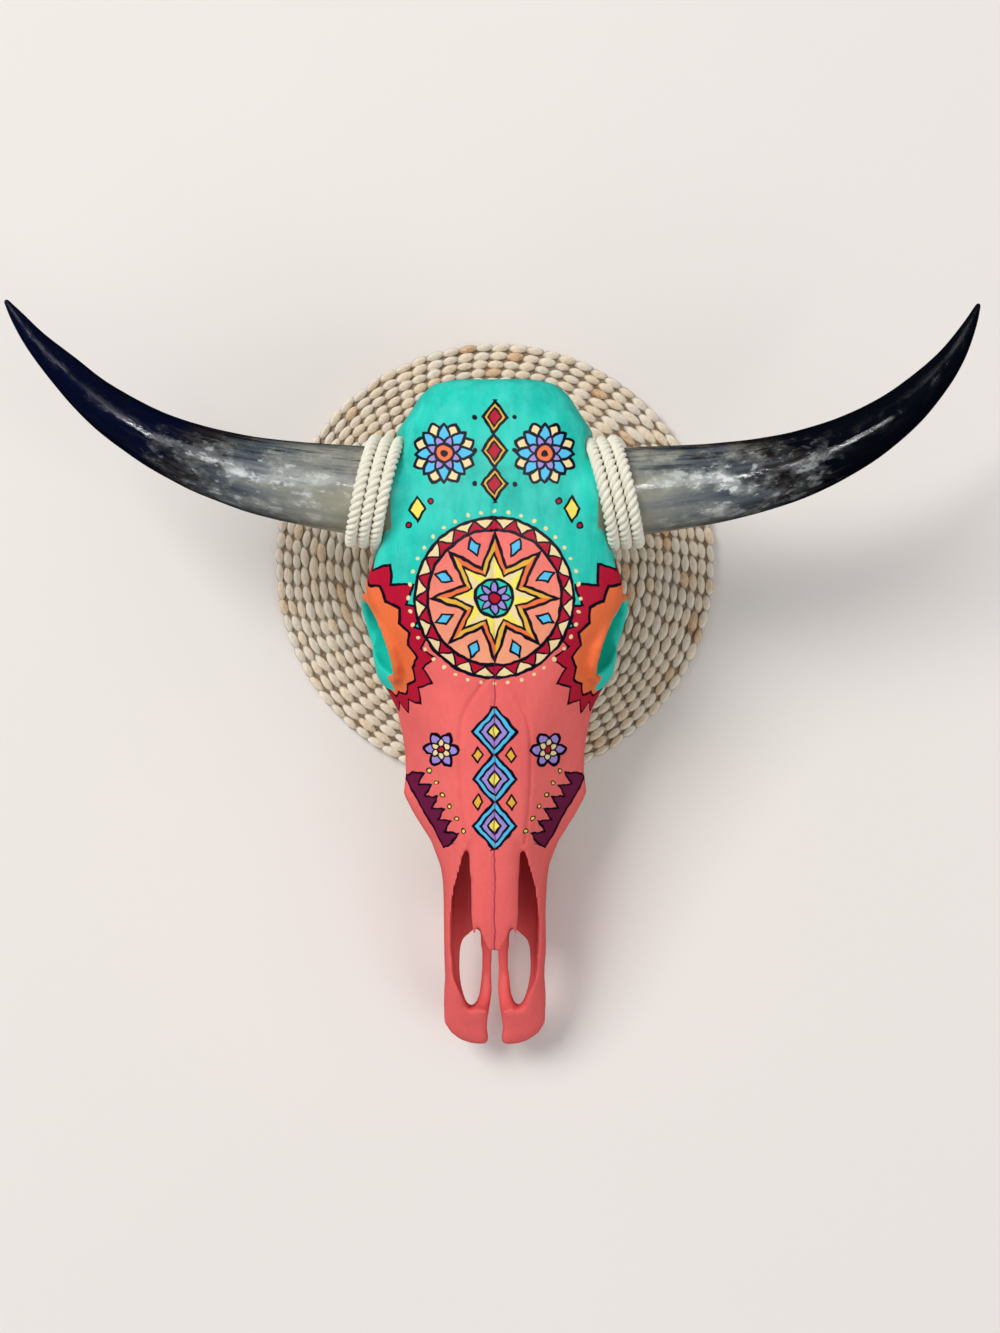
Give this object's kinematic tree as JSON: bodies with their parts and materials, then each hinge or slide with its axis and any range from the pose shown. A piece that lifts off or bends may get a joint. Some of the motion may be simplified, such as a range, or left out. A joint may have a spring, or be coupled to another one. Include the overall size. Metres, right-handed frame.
{
  "type": "painted cow skull on a woven mat",
  "caption": "Painted horned cow skull with rope lashed round the foot of each polished horn, resting on a round woven mat, for show on a wall or a table.",
  "frame": {"origin": "middle of the woven mat's flat underside", "axes": "+Z out of the forehead, away from the mat; +Y from the nose to the poll; +X to the horn on the right when the face is looked at with the nose down"},
  "size_m": [0.7559, 0.6061, 0.1935],
  "materials": {
    "painted_bone": "bone with satin acrylic paint",
    "polished_horn": "polished natural horn",
    "cotton_rope": "three-strand natural cotton rope",
    "woven_husk": "dry plaited husk, matt"
  },
  "bodies": {
    "root": {"skull": "painted_bone", "horn_right": "polished_horn", "horn_left": "polished_horn", "rope_lashing_right": "cotton_rope", "rope_lashing_left": "cotton_rope", "woven_mat": "woven_husk"}
  },
  "joints": []
}
